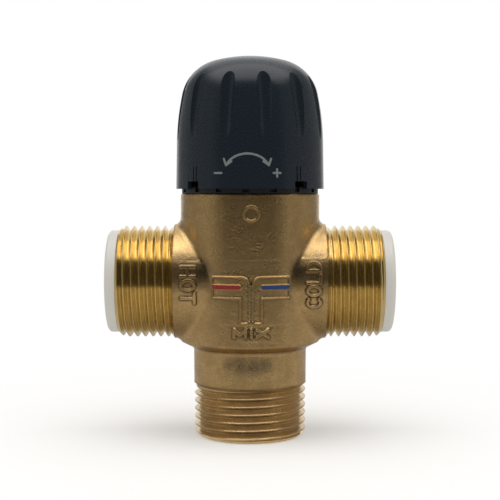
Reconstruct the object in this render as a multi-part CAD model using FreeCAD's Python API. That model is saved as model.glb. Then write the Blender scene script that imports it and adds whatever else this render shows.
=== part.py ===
"""Thermostatic mixing valve, DN 20, with three G 1 male ports.

Hot water comes in on the left (-X), cold water on the right (+X), and mixed water leaves
downwards (-Z). A wax capsule in the mixed stream moves a spool between a hot seat, in the
body below it, and a cold seat, on the nose of the bonnet above it. When the wax swells, the
spool goes down and closes the hot side. Turning the knob raises or lowers the nut that the
capsule's pin pushes against. Each inlet holds a push-in check valve whose white flange
stands proud of the brass.

Frame: millimetres, +Z up along the spindle, +X to the cold inlet, -Y to the marked front.
The origin is the centre of the outlet's end face, on which the valve can stand.
"""
import FreeCAD
import Part

import math
import os

from FreeCAD import Vector

# ---------------------------------------------------------------- driving dimensions
# Ports: G 1 A pipe thread, drawn at its major diameter.
thread_radius = 33.249 / 2
thread_depth = 1.479
relief_depth = 0.52
relief_width = 2.0
port_thread_length = 13.7
outlet_thread_length = 13.2
port_wall = 2.55

# Body casting.
port_axis_z = 46.0
port_half_length = 39.0
barrel_radius = 20.65
barrel_top_z = 72.3
barrel_foot_drop = 0.7
underside_slope = 27.0
port_neck_rise = 0.38
outlet_neck_rise = 0.13
casting_draft = 0.2
crotch_fillet = 2.2
barrel_top_chamfer = 0.5

# Chambers and seats inside the body.
chamber_wall = 4.65
land_height = 4.4
seat_rim_lip = 0.6
lower_chamber_depth = 7.3
throat_length = 8.5
passage_width = 18.0
passage_gap = 0.5
upper_passage_height = 9.0
lower_passage_height = 6.2
port_bore_depth = 17.0

# Bonnet: screws into the top of the body.
body_rim_wall = 3.35
bonnet_thread_step = 0.35
bonnet_thread_length = 7.0
bonnet_seal_length = 2.8
bonnet_flange_inset = 2.25
bonnet_flange_height = 1.7
bonnet_hex_inset = 3.33
bonnet_hex_height = 5.5
bonnet_hex_bevel = 1.6
bonnet_neck_radius = 8.5
bonnet_neck_height = 8.5
fit_gap = 0.1
running_gap = 0.15

# Spool, capsule and their travel.
spool_radius = 11.0
spool_wall = 1.4
spool_height = 9.0
spool_hub_radius = 7.6
spool_hub_height = 3.0
spool_web_count = 4
spool_web_width = 1.6
hot_gap = 1.7
cold_gap = 2.3
capsule_radius = 5.5
capsule_collar_radius = 6.9
capsule_collar_height = 2.2
capsule_guide_radius = 3.6
capsule_guide_height = 5.8
capsule_depth = 27.0
capsule_end_bevel = 1.5
piston_radius = 1.5
piston_length = 12.2

# Nut with its overload spring.
nut_radius = 9.3
nut_side_gap = 0.3
nut_wall = 1.6
nut_skirt_below_plate = 2.7
nut_roof = 2.0
nut_boss_radius = 6.0
nut_boss_height = 5.0
nut_boss_gap = 0.6
nut_travel_room = 2.5
nut_key_width = 2.0
nut_key_height = 8.0
nut_key_reach = 0.7
plate_radius = 7.3
plate_thickness = 1.8
plate_pilot_height = 1.0
overload_spring_length = 9.0
overload_wire_radius = 0.7
overload_spring_radius = 5.9
overload_turns = 4.5

# Spindle.
spindle_radius = 4.0
spindle_lead_length = 12.0
spindle_lead_bevel = 1.0
spindle_thrust_gap = 1.5
spindle_collar_radius = 5.9
spindle_collar_height = 1.5
spline_root_radius = 3.4
spline_length = 8.5
spline_relief = 0.5
spline_teeth = 16
small_ring_section = 0.6
small_ring_spacing = 2.6
circlip_thickness = 0.8
spindle_clip_reach = 1.6
clip_opening = 2.4

# Return spring and its seat in the outlet.
return_wire_radius = 0.6
return_turns = 5.5
return_spring_length = 17.0
spring_seat_height = 4.0
spring_seat_rim_height = 3.0
spring_seat_rim_wall = 1.4
spring_seat_web_count = 4
spring_seat_web_width = 2.0
capsule_clearance = 0.5
seat_clip_thickness = 1.2
seat_clip_depth = 0.8
seat_clip_reach = 1.6
seat_clip_opening = 4.0

# Knob and index ring.
knob_overhang = 1.35
knob_height = 39.2
knob_gap_to_body = 1.3
knob_lock_travel = 1.2
knob_rest_angle = -3.3
crown_turn = 15.0
shoulder_turn = 78.0
shoulder_radius = 12.8
side_radius = 75.0
skirt_draft = 1.0
flute_count = 12
flute_low_radius = 2.0
flute_high_radius = 3.7
flute_tilt = 11.6
notch_count = 4
notch_width = 4.7
notch_height = 2.1
slit_width = 0.35
slit_spacing = 1.25
slit_height = 4.2
slit_depth = 0.45
slit_turn = 2.5
skirt_wall = 1.4
skirt_step = 1.2
skirt_step_height = 3.2
knob_wall = 2.4
knob_roof_inset = 7.6
knob_shoulder_depth = 5.0
knob_crown_wall = 3.2
knob_hub_wall = 2.8
knob_rib_count = 6
knob_rib_width = 1.6
knob_rib_height = 9.0
index_ring_inset = 0.35
index_ring_height = 1.8
index_ring_web = 0.9
index_count = 16
index_slot_width = 1.9
index_slot_floor = 0.3
lug_count = 4
lug_side_gap = 0.2
lug_above_ring = 0.3

# Check valves.
flange_lip = 0.05
flange_thickness = 3.0
flange_round = 1.0
cage_length = 13.0
cage_wall = 3.0
cage_mouth_inset = 2.0
cage_throat_inset = 4.6
cage_mouth_bevel = 1.0
cage_throat_length = 1.5
cage_seat_depth = 3.0
cage_ring_depth = 7.0
cage_end_bevel = 0.8
poppet_side_gap = 0.7
poppet_thickness = 1.6
poppet_nose_height = 1.4
poppet_seal_width = 1.0
poppet_stem_radius = 1.2
guide_thickness = 2.0
guide_hub_wall = 3.2
guide_rim = 1.3
guide_web_count = 3
guide_web_width = 1.4
check_spring_radius = 3.4
check_wire_radius = 0.25
check_turns = 3.5

# Webs: how far they run into the rings that they join.
web_overlap = 0.3

# Springs: number of sides that stand for the round wire.
wire_sides = 6

# O-rings: radius of the round section, and how far the spool's seal stays off the spool.
ring_section = 0.9
spool_seal_gap = 0.05

# ---------------------------------------------------------------- radii that follow
thread_root_radius = thread_radius - thread_depth
relief_radius = thread_radius - relief_depth
port_neck_radius = thread_radius + port_neck_rise
outlet_neck_radius = thread_radius + outlet_neck_rise
port_bore_radius = thread_root_radius - port_wall
chamber_radius = barrel_radius - chamber_wall
land_bore_radius = spool_radius + running_gap
seat_rim_radius = spool_radius + seat_rim_lip
throat_radius = spool_radius - spool_wall
bonnet_seal_radius = barrel_radius - body_rim_wall
bonnet_thread_radius = bonnet_seal_radius - bonnet_thread_step
bonnet_flange_radius = barrel_radius - bonnet_flange_inset
bonnet_hex_across = (barrel_radius - bonnet_hex_inset) * math.sqrt(3)
bonnet_chamber_radius = nut_radius + nut_side_gap
spline_tip_radius = spindle_radius
knob_hub_radius = spindle_radius + knob_hub_wall
return_spring_radius = spool_hub_radius - return_wire_radius - fit_gap
knob_skirt_radius = barrel_radius + knob_overhang
index_ring_radius = barrel_radius - index_ring_inset
lug_width = index_slot_width - 2 * lug_side_gap
flange_radius = thread_root_radius + flange_lip
cage_bore_radius = port_bore_radius - cage_wall
cage_mouth_radius = port_bore_radius - cage_mouth_inset
cage_throat_radius = port_bore_radius - cage_throat_inset
poppet_radius = cage_bore_radius - poppet_side_gap

# ---------------------------------------------------------------- levels that follow
spool_low_z = port_axis_z - spool_height / 2
spool_high_z = port_axis_z + spool_height / 2
land_low_z = port_axis_z - land_height / 2
land_high_z = port_axis_z + land_height / 2
hot_seat_z = spool_low_z - hot_gap
cold_seat_z = spool_high_z + cold_gap
hub_top_z = port_axis_z
hub_low_z = hub_top_z - spool_hub_height
plate_low_z = hub_top_z + capsule_collar_height + piston_length
plate_high_z = plate_low_z + plate_thickness
nut_roof_z = plate_high_z + overload_spring_length
nut_shoulder_z = nut_roof_z + nut_roof
nut_top_z = nut_shoulder_z + nut_boss_height
collar_low_z = nut_top_z + spindle_thrust_gap
collar_high_z = collar_low_z + spindle_collar_height
bonnet_ceiling_z = collar_high_z + running_gap
hex_low_z = barrel_top_z + bonnet_flange_height
hex_high_z = hex_low_z + bonnet_hex_height
bonnet_top_z = hex_high_z + bonnet_neck_height
spindle_clip_z = bonnet_top_z + running_gap
spline_low_z = spindle_clip_z + circlip_thickness + spline_relief
spindle_top_z = spline_low_z + spline_length
knob_low_z = barrel_top_z + knob_gap_to_body
knob_top_z = knob_low_z + knob_height
spring_seat_high_z = hub_low_z - return_spring_length
spring_seat_low_z = spring_seat_high_z - spring_seat_height
underside_z = port_axis_z - port_neck_radius - barrel_foot_drop


# ---------------------------------------------------------------- shape helpers
def turned(outline):
    """Solid of revolution about +Z of a closed outline of (radius, height) points."""
    corners = [Vector(radius, 0, height) for radius, height in outline]
    face = Part.Face(Part.makePolygon(corners + corners[:1]))
    return face.revolve(Vector(0, 0, 0), Vector(0, 0, 1), 360)


def cylinder(radius, low, high):
    """Upright cylinder on the Z axis."""
    return Part.makeCylinder(radius, high - low, Vector(0, 0, low))


def ring(inner, outer, low, high):
    """Upright tube on the Z axis."""
    return cylinder(outer, low, high).cut(cylinder(inner, low, high))


def block(x_range, y_range, z_range):
    """Box between the given lowest and highest values."""
    size = [high - low for low, high in (x_range, y_range, z_range)]
    return Part.makeBox(*size, Vector(x_range[0], y_range[0], z_range[0]))


def turned_about_z(shape, degrees):
    """Copy of the shape, turned about the Z axis."""
    copy = shape.copy()
    copy.rotate(Vector(0, 0, 0), Vector(0, 0, 1), degrees)
    return copy


def around(shape, count, start=0.0):
    """Copies of the shape spaced evenly about the Z axis."""
    return [turned_about_z(shape, start + 360.0 * n / count) for n in range(count)]


def o_ring(centre_radius, section_radius, height):
    """Round-section ring lying flat at the given height."""
    return Part.makeTorus(centre_radius, section_radius, Vector(0, 0, height))


def webs(inner, outer, width, low, high, count):
    """Radial webs between two radii, reaching a little into the rings that they join."""
    span = (inner - web_overlap, outer + web_overlap)
    return around(block(span, (-width / 2, width / 2), (low, high)), count)


def coil_spring(mean_radius, wire_radius, low, high, turns):
    """Open helical spring between the given heights, with its round wire drawn as a prism."""
    height = high - low - 2 * wire_radius
    path = Part.Wire(Part.makeHelix(height / turns, height, mean_radius))
    path.translate(Vector(0, 0, low + wire_radius))
    start = Vector(mean_radius, 0, low + wire_radius)
    corners = [
        start + Vector(wire_radius * math.cos(turn), 0, wire_radius * math.sin(turn))
        for turn in (2 * math.pi * (side + 0.5) / wire_sides for side in range(wire_sides))
    ]
    section = Part.makePolygon(corners + corners[:1])
    return Part.Solid(path.makePipeShell([section], True, True))


def split_ring(inner, outer, low, high, gap):
    """Flat retaining ring with a gap cut through one side."""
    slot = block((0, outer + 1), (-gap / 2, gap / 2), (low - 1, high + 1))
    return ring(inner, outer, low, high).cut(slot)


def hexagon(across, low, high):
    """Upright hexagonal prism measured across its flats."""
    reach = across / math.sqrt(3)
    corners = [
        Vector(reach * math.cos(math.radians(60 * n)), reach * math.sin(math.radians(60 * n)), low)
        for n in range(6)
    ]
    face = Part.Face(Part.makePolygon(corners + corners[:1]))
    return face.extrude(Vector(0, 0, high - low))


def spline_bar(root, tip, low, high, grow=0.0):
    """Splined bar: trapezoid teeth between two radii, all walls moved out by grow."""
    pitch = 2 * math.pi / spline_teeth
    corners = []
    for tooth in range(spline_teeth):
        middle = tooth * pitch
        for radius, share in ((root, -0.32), (tip, -0.18), (tip, 0.18), (root, 0.32)):
            reach = radius + grow
            turn = middle + share * pitch + math.copysign(grow / radius, share)
            corners.append(Vector(reach * math.cos(turn), reach * math.sin(turn), low))
    face = Part.Face(Part.makePolygon(corners + corners[:1]))
    return face.extrude(Vector(0, 0, high - low))


def edges_where(shape, test):
    """Edges of the shape whose sampled points all pass the test."""
    found = []
    for edge in shape.Edges:
        first, last = edge.ParameterRange
        points = [edge.valueAt(first + (last - first) * share) for share in (0.1, 0.37, 0.63, 0.9)]
        if all(test(point) for point in points):
            found.append(edge)
    return found


# ---------------------------------------------------------------- body casting
def port_outline(end, thread_length, neck):
    """Outline of one male port along its axis: cast neck, relief, thread, end chamfer."""
    relief_start = end - thread_length - relief_width
    return [
        (0, 0),
        (neck + casting_draft, 0),
        (neck, relief_start - (neck - relief_radius)),
        (relief_radius, relief_start),
        (relief_radius, relief_start + relief_width),
        (thread_radius, relief_start + relief_width + relief_depth),
        (thread_radius, end - thread_depth),
        (thread_root_radius, end),
        (0, end),
    ]


def side_port():
    """Solid of the right-hand port, lying along +X at the height of the port axis."""
    solid = turned(port_outline(port_half_length, port_thread_length, port_neck_radius))
    solid.rotate(Vector(0, 0, 0), Vector(0, 1, 0), 90)
    solid.translate(Vector(0, 0, port_axis_z))
    return solid


def outlet_port():
    """Solid of the outlet, pointing down from the middle of the body."""
    solid = turned(port_outline(port_axis_z, outlet_thread_length, outlet_neck_radius))
    solid.rotate(Vector(0, 0, 0), Vector(1, 0, 0), 180)
    solid.translate(Vector(0, 0, port_axis_z))
    return solid


def barrel():
    """Upright barrel of the casting, with its sloping underside and chamfered top edge."""
    slope = math.tan(math.radians(underside_slope))
    foot_z = underside_z - (barrel_radius - outlet_neck_radius) * slope
    return turned([
        (0, foot_z),
        (outlet_neck_radius, foot_z),
        (barrel_radius, underside_z),
        (barrel_radius, barrel_top_z - barrel_top_chamfer),
        (barrel_radius - barrel_top_chamfer, barrel_top_z),
        (0, barrel_top_z),
    ])


def casting():
    """Outside of the casting: barrel and three ports, blended where they meet."""
    right = side_port()
    left = turned_about_z(right, 180)
    outside = barrel().fuse([right, left, outlet_port()]).removeSplitter()

    def in_crotch(point):
        off_barrel = abs(math.hypot(point.x, point.y) - barrel_radius)
        off_port = abs(math.hypot(point.y, point.z - port_axis_z) - port_neck_radius)
        return off_barrel < 0.02 and off_port < casting_draft + 0.05

    return outside.makeFillet(crotch_fillet, edges_where(outside, in_crotch))


def passage(low, high):
    """Cored slot that leads from one port bore into a chamber, towards +X."""
    half = passage_width / 2
    reach = port_half_length - port_bore_depth + 1
    slot = block((chamber_radius * 0.6, reach), (-half, half), (low, high))
    return slot.makeFillet(1.2, edges_where(slot, lambda p: abs(abs(p.y) - half) < 0.01))


def port_bore():
    """Bore of the right-hand port, with its flat bottom."""
    bore = cylinder(port_bore_radius, port_half_length - port_bore_depth, port_half_length + 1)
    bore.rotate(Vector(0, 0, 0), Vector(0, 1, 0), 90)
    bore.translate(Vector(0, 0, port_axis_z))
    return bore


def valve_body():
    """The one brass casting, machined: threads, seats, land, chambers and bores."""
    thread_low_z = barrel_top_z - bonnet_seal_length - bonnet_thread_length
    groove_half = ring_section + fit_gap
    lower_floor_z = land_low_z - lower_chamber_depth
    spool_groove_radius = spool_radius + spool_seal_gap + 2 * ring_section
    throat_low_z = hot_seat_z - throat_length
    bore = turned([
        (0, -1),
        (port_bore_radius, -1),
        (port_bore_radius, throat_low_z - (port_bore_radius - throat_radius)),
        (throat_radius, throat_low_z),
        (throat_radius, hot_seat_z),
        (seat_rim_radius - 0.6, hot_seat_z),
        (seat_rim_radius, hot_seat_z - 0.6),
        (seat_rim_radius, lower_floor_z),
        (chamber_radius, lower_floor_z),
        (chamber_radius, land_low_z),
        (land_bore_radius, land_low_z),
        (land_bore_radius, port_axis_z - groove_half),
        (spool_groove_radius, port_axis_z - groove_half),
        (spool_groove_radius, port_axis_z + groove_half),
        (land_bore_radius, port_axis_z + groove_half),
        (land_bore_radius, land_high_z),
        (chamber_radius, land_high_z),
        (chamber_radius, thread_low_z - 0.5),
        (bonnet_thread_radius + fit_gap / 2, thread_low_z - 0.5),
        (bonnet_thread_radius + fit_gap / 2, barrel_top_z - bonnet_seal_length),
        (bonnet_seal_radius + fit_gap, barrel_top_z - bonnet_seal_length),
        (bonnet_seal_radius + fit_gap, barrel_top_z + 1),
        (0, barrel_top_z + 1),
    ])
    clip_groove = ring(
        port_bore_radius - 1, port_bore_radius + seat_clip_depth,
        spring_seat_low_z - seat_clip_thickness, spring_seat_low_z,
    )
    hot_high = land_low_z - passage_gap
    cold_low = land_high_z + passage_gap
    hot_side = passage(hot_high - lower_passage_height, hot_high).fuse(port_bore())
    cold_side = passage(cold_low, cold_low + upper_passage_height).fuse(port_bore())
    return casting().cut([bore, clip_groove, turned_about_z(hot_side, 180), cold_side])


# ---------------------------------------------------------------- bonnet and spindle
def bonnet():
    """Turned brass headwork: cold seat on its nose, thread, flange, hexagon and neck."""
    thread_low_z = barrel_top_z - bonnet_seal_length - bonnet_thread_length
    seal_low_z = barrel_top_z - bonnet_seal_length
    outside = turned([
        (0, cold_seat_z),
        (seat_rim_radius, cold_seat_z),
        (seat_rim_radius, thread_low_z),
        (bonnet_thread_radius, thread_low_z),
        (bonnet_thread_radius, seal_low_z),
        (bonnet_seal_radius, seal_low_z),
        (bonnet_seal_radius, barrel_top_z),
        (bonnet_flange_radius, barrel_top_z),
        (bonnet_flange_radius, hex_low_z),
        (bonnet_neck_radius, hex_low_z),
        (bonnet_neck_radius, bonnet_top_z - 0.6),
        (bonnet_neck_radius - 0.6, bonnet_top_z),
        (0, bonnet_top_z),
    ])
    corner_chamfer = turned([
        (0, hex_low_z),
        (bonnet_hex_across / math.sqrt(3) + 1, hex_low_z),
        (bonnet_hex_across / math.sqrt(3) + 1, hex_high_z - bonnet_hex_bevel),
        (bonnet_hex_across / 2, hex_high_z),
        (0, hex_high_z),
    ])
    hexagon_part = hexagon(bonnet_hex_across, hex_low_z, hex_high_z).common(corner_chamfer)
    shoulder_z = nut_shoulder_z + nut_travel_room
    inside = turned([
        (0, cold_seat_z - 1),
        (bonnet_chamber_radius, cold_seat_z - 1),
        (bonnet_chamber_radius, shoulder_z),
        (nut_boss_radius + nut_boss_gap, shoulder_z),
        (nut_boss_radius + nut_boss_gap, bonnet_ceiling_z),
        (spindle_radius + running_gap, bonnet_ceiling_z),
        (spindle_radius + running_gap, bonnet_top_z + 1),
        (0, bonnet_top_z + 1),
    ])
    key_slots = webs(
        bonnet_chamber_radius, nut_radius + nut_key_reach + running_gap,
        nut_key_width + 2 * running_gap,
        nut_shoulder_z - nut_key_height - nut_travel_room, shoulder_z, 2,
    )
    groove_centre = (seal_low_z + barrel_top_z) / 2
    groove = ring(
        bonnet_seal_radius - 2 * ring_section + fit_gap, bonnet_seal_radius + 1,
        groove_centre - ring_section - fit_gap, groove_centre + ring_section + fit_gap,
    )
    return outside.fuse(hexagon_part).cut([inside, groove] + key_slots)


def bonnet_o_ring():
    """Seal between the bonnet and the body, in the bonnet's groove."""
    centre_z = barrel_top_z - bonnet_seal_length / 2
    return o_ring(bonnet_seal_radius + fit_gap - ring_section, ring_section, centre_z)


def ring_heights():
    """Heights of the two O-rings on the spindle, inside the bonnet's neck."""
    middle = (bonnet_ceiling_z + bonnet_top_z) / 2
    return (middle - small_ring_spacing / 2, middle + small_ring_spacing / 2)


def adjusting_spindle():
    """Spindle: lead thread below, thrust collar, sealed journal, clip groove, spline."""
    groove_radius = spindle_radius - 2 * small_ring_section + fit_gap
    outline = [
        (0, nut_top_z - spindle_lead_length),
        (spindle_radius - spindle_lead_bevel, nut_top_z - spindle_lead_length),
        (spindle_radius - fit_gap, nut_top_z - spindle_lead_length + spindle_lead_bevel),
        (spindle_radius - fit_gap, collar_low_z),
        (spindle_collar_radius, collar_low_z),
        (spindle_collar_radius, collar_high_z),
        (spindle_radius, collar_high_z),
    ]
    for height in ring_heights():
        half = small_ring_section + fit_gap
        outline += [
            (spindle_radius, height - half),
            (groove_radius, height - half),
            (groove_radius, height + half),
            (spindle_radius, height + half),
        ]
    outline += [
        (spindle_radius, spindle_clip_z),
        (spline_root_radius, spindle_clip_z),
        (spline_root_radius, spindle_top_z - 0.5),
        (spline_root_radius - 0.5, spindle_top_z),
        (0, spindle_top_z),
    ]
    teeth = spline_bar(spline_root_radius, spline_tip_radius, spline_low_z, spindle_top_z - 0.5)
    return turned_about_z(turned(outline).fuse(teeth), knob_rest_angle)


def spindle_o_rings():
    """Two like seals on the spindle's journal."""
    centre_radius = spindle_radius + fit_gap - small_ring_section
    return [o_ring(centre_radius, small_ring_section, height) for height in ring_heights()]


def spindle_circlip():
    """Retaining ring that keeps the spindle up against the bonnet."""
    return split_ring(
        spline_root_radius, spindle_radius + spindle_clip_reach,
        spindle_clip_z, spindle_clip_z + circlip_thickness, clip_opening,
    )


# ---------------------------------------------------------------- nut and overload spring
def adjusting_nut():
    """Cup that the spindle's thread raises and lowers, keyed so that it can't turn."""
    low_z = plate_low_z - nut_skirt_below_plate
    bore = nut_radius - nut_wall
    clip_low_z = plate_low_z - circlip_thickness - 2 * fit_gap
    clip_groove_radius = bore + nut_wall / 2
    cup = turned([
        (bore, low_z),
        (nut_radius, low_z),
        (nut_radius, nut_shoulder_z),
        (nut_boss_radius, nut_shoulder_z),
        (nut_boss_radius, nut_top_z),
        (spindle_radius, nut_top_z),
        (spindle_radius, nut_roof_z),
        (bore, nut_roof_z),
        (bore, plate_low_z),
        (clip_groove_radius, plate_low_z),
        (clip_groove_radius, clip_low_z),
        (bore, clip_low_z),
    ])
    key_high_z = nut_shoulder_z - 1
    keys = webs(
        nut_radius - nut_wall / 2, nut_radius + nut_key_reach - web_overlap, nut_key_width,
        key_high_z - nut_key_height, key_high_z, 2,
    )
    return cup.fuse(keys)


def nut_circlip():
    """Retaining ring under the thrust plate, sprung into the nut's groove."""
    bore = nut_radius - nut_wall
    return split_ring(
        bore - spindle_clip_reach, bore + nut_wall / 2 - fit_gap,
        plate_low_z - circlip_thickness - fit_gap, plate_low_z - fit_gap, clip_opening,
    )


def overload_plate():
    """Plate that the capsule's pin pushes, backed by the overload spring."""
    pilot_radius = overload_spring_radius - overload_wire_radius - 2 * running_gap
    pilot_z = plate_high_z + plate_pilot_height
    return turned([
        (0, plate_low_z),
        (plate_radius, plate_low_z),
        (plate_radius, plate_high_z),
        (pilot_radius, plate_high_z),
        (pilot_radius - plate_pilot_height / 2, pilot_z),
        (0, pilot_z),
    ])


def overload_spring():
    """Stiff spring between the plate and the nut's roof, which gives if the spool is shut."""
    return coil_spring(
        overload_spring_radius, overload_wire_radius, plate_high_z, nut_roof_z, overload_turns,
    )


# ---------------------------------------------------------------- capsule and spool
def thermostat_capsule():
    """Sealed wax capsule: bulb in the mixed water, collar on the spool's hub, pin guide."""
    top_z = hub_top_z + capsule_collar_height
    guide_top_z = top_z + capsule_guide_height
    low_z = hub_top_z - capsule_depth
    body = turned([
        (0, low_z),
        (capsule_radius - capsule_end_bevel, low_z),
        (capsule_radius, low_z + capsule_end_bevel),
        (capsule_radius, hub_top_z),
        (capsule_collar_radius, hub_top_z),
        (capsule_collar_radius, top_z - 0.5),
        (capsule_collar_radius - 0.5, top_z),
        (capsule_guide_radius, top_z),
        (capsule_guide_radius, guide_top_z - 0.8),
        (capsule_guide_radius - 0.8, guide_top_z),
        (0, guide_top_z),
    ])
    return body.cut(cylinder(piston_radius + running_gap / 2, top_z - 1, guide_top_z + 1))


def thermostat_piston():
    """Pin that the melting wax drives out of the capsule."""
    return cylinder(piston_radius, hub_top_z + capsule_collar_height, plate_low_z)


def mixing_spool():
    """Moulded slide: thin ring between the seats, webs, and the hub under the capsule."""
    inner = spool_radius - spool_wall
    rim = turned([
        (inner, spool_low_z),
        (spool_radius - 0.3, spool_low_z),
        (spool_radius, spool_low_z + 0.3),
        (spool_radius, spool_high_z - 0.3),
        (spool_radius - 0.3, spool_high_z),
        (inner, spool_high_z),
    ])
    hub = ring(capsule_radius + running_gap, spool_hub_radius, hub_low_z, hub_top_z)
    spokes = webs(spool_hub_radius, inner, spool_web_width, hub_low_z, hub_top_z, spool_web_count)
    return rim.fuse([hub] + spokes)


def spool_o_ring():
    """Seal in the land's groove that parts the hot chamber from the cold one."""
    return o_ring(spool_radius + spool_seal_gap + ring_section, ring_section, port_axis_z)


def return_spring():
    """Spring that pushes the spool up, against the capsule and the nut."""
    return coil_spring(
        return_spring_radius, return_wire_radius, spring_seat_high_z, hub_low_z, return_turns,
    )


def return_spring_seat():
    """Moulded spider in the outlet that the return spring stands on."""
    outer = port_bore_radius - fit_gap
    inner = outer - spring_seat_rim_wall
    rim_top_z = spring_seat_low_z + spring_seat_rim_height
    hub_bore = capsule_radius + capsule_clearance
    rim = ring(inner, outer, spring_seat_low_z, rim_top_z)
    hub = ring(hub_bore, spool_hub_radius, spring_seat_low_z, spring_seat_high_z)
    spokes = webs(
        spool_hub_radius, inner, spring_seat_web_width,
        spring_seat_low_z, rim_top_z, spring_seat_web_count,
    )
    return rim.fuse([hub] + spokes)


def seat_circlip():
    """Retaining ring in the outlet's groove, under the spring seat."""
    return split_ring(
        port_bore_radius - seat_clip_reach, port_bore_radius + seat_clip_depth - fit_gap,
        spring_seat_low_z - seat_clip_thickness, spring_seat_low_z, seat_clip_opening,
    )


# ---------------------------------------------------------------- knob and index ring
def arc_from(start, heading, radius, new_heading):
    """Arc of an outline that turns down from one heading to another, in degrees.

    A heading of 0 runs outwards along the radius, and 90 runs straight down.
    """
    centre = Vector(
        start.x - radius * math.sin(math.radians(heading)), 0,
        start.z - radius * math.cos(math.radians(heading)),
    )

    def at(angle):
        return centre + Vector(
            radius * math.sin(math.radians(angle)), 0, radius * math.cos(math.radians(angle)),
        )

    end = at(new_heading)
    return Part.Arc(start, at((heading + new_heading) / 2), end).toShape(), end


def knob_outline():
    """Edges of the knob's outside, from the crown down to the skirt's foot, and the point
    where the curved side meets the straight skirt."""
    side_end = 90 - skirt_draft

    def run(radius, first, last):
        first, last = math.radians(first), math.radians(last)
        return radius * (math.sin(last) - math.sin(first)), radius * (math.cos(first) - math.cos(last))

    shoulder_out, shoulder_down = run(shoulder_radius, crown_turn, shoulder_turn)
    side_out, side_down = run(side_radius, shoulder_turn, side_end)
    lean = math.tan(math.radians(skirt_draft))
    curved = shoulder_down + side_down
    crown_share = (1 - math.cos(math.radians(crown_turn))) / math.sin(math.radians(crown_turn))
    # The crown takes up what the other stretches leave of the skirt's radius.
    reach = knob_skirt_radius - shoulder_out - side_out - lean * (knob_height - curved)
    crown_out = reach / (1 - lean * crown_share)
    crown_radius = crown_out / math.sin(math.radians(crown_turn))

    crown, point = arc_from(Vector(0, 0, knob_top_z), 0, crown_radius, crown_turn)
    shoulder, point = arc_from(point, crown_turn, shoulder_radius, shoulder_turn)
    side, skirt_top = arc_from(point, shoulder_turn, side_radius, side_end)
    skirt = Part.makeLine(skirt_top, Vector(knob_skirt_radius, 0, knob_low_z))
    return [crown, shoulder, side, skirt], skirt_top


def knob():
    """Moulded cap: domed, with flutes, four notches in its skirt, ribs, hub and lugs."""
    edges, skirt_top = knob_outline()
    foot = Vector(knob_skirt_radius, 0, knob_low_z)
    floor = Vector(0, 0, knob_low_z)
    closing = [Part.makeLine(foot, floor), Part.makeLine(floor, Vector(0, 0, knob_top_z))]
    outline = Part.Wire(Part.__sortEdges__(edges + closing))
    shell = Part.Face(outline).revolve(Vector(0, 0, 0), Vector(0, 0, 1), 360)

    skirt_bore = knob_skirt_radius - skirt_wall
    bore = skirt_bore - skirt_step
    roof_z = knob_top_z - knob_crown_wall
    cavity = turned([
        (0, knob_low_z - 1),
        (skirt_bore, knob_low_z - 1),
        (skirt_bore, knob_low_z + skirt_step_height),
        (bore, knob_low_z + skirt_step_height),
        (bore, skirt_top.z),
        (bore - knob_wall * 1.8, roof_z - knob_shoulder_depth),
        (bore - knob_roof_inset, roof_z),
        (0, roof_z),
    ])
    hub_low_z = spline_low_z + knob_lock_travel - running_gap
    hub = cylinder(knob_hub_radius, hub_low_z, knob_top_z - knob_crown_wall / 2)
    rib = block(
        (0, bore), (-knob_rib_width / 2, knob_rib_width / 2),
        (roof_z - knob_rib_height, roof_z + knob_crown_wall / 2),
    )
    ribs = [shape.common(cavity) for shape in around(rib, knob_rib_count)]
    lug = block(
        (index_ring_radius - index_ring_web + lug_side_gap, skirt_bore + skirt_wall / 2),
        (-lug_width / 2, lug_width / 2),
        (barrel_top_z + index_ring_height + lug_above_ring, knob_low_z + skirt_step_height),
    )
    lugs = around(lug, lug_count, -90)
    socket = spline_bar(
        spline_root_radius, spline_tip_radius, hub_low_z - 1,
        spindle_top_z + knob_lock_travel + 2 * running_gap, fit_gap,
    )
    cuts = flutes(skirt_top) + skirt_cuts(skirt_bore) + [cavity]
    solid = shell.cut(cuts).fuse([hub] + ribs + lugs).cut(socket)
    return turned_about_z(solid, knob_rest_angle)


def flutes(foot):
    """Tapered round cuts that lean inwards and run out at the foot, where the skirt starts."""
    taper = math.degrees(math.atan((flute_high_radius - flute_low_radius) / knob_height))
    cutter = Part.makeCone(flute_low_radius, flute_high_radius, knob_height)
    cutter.translate(Vector(flute_low_radius, 0, 0))
    cutter.rotate(Vector(0, 0, 0), Vector(0, 1, 0), taper - flute_tilt)
    cutter.translate(foot)
    return around(cutter, flute_count, 180.0 / flute_count)


def skirt_cuts(skirt_bore):
    """Notches in the skirt's foot, each with a pair of fine slits in the skin above it."""
    reach = knob_skirt_radius + 1
    notch = block(
        (skirt_bore - skirt_step, reach), (-notch_width / 2, notch_width / 2),
        (knob_low_z - 1, knob_low_z + notch_height),
    )
    cuts = around(notch, notch_count, 180.0 / notch_count)
    slit_low_z = knob_low_z + notch_height / 2
    for centre in (-slit_spacing / 2, slit_spacing / 2):
        slit = block(
            (knob_skirt_radius - slit_depth, reach),
            (centre - slit_width / 2, centre + slit_width / 2),
            (slit_low_z, knob_low_z + notch_height + slit_height),
        )
        for side in (-1, 1):
            cuts += around(slit, notch_count // 2, side * (180.0 / notch_count + slit_turn))
    return cuts


def index_ring():
    """Ring on top of the body with evenly spaced slots that lock the lowered knob."""
    inner = bonnet_flange_radius + fit_gap
    top_z = barrel_top_z + index_ring_height
    band = ring(inner, index_ring_radius, barrel_top_z, top_z)
    slot = block(
        (index_ring_radius - index_ring_web, index_ring_radius + 1),
        (-index_slot_width / 2, index_slot_width / 2), (barrel_top_z + index_slot_floor, top_z + 1),
    )
    slotted = band.cut(around(slot, index_count))
    return turned_about_z(slotted, knob_rest_angle)


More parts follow.
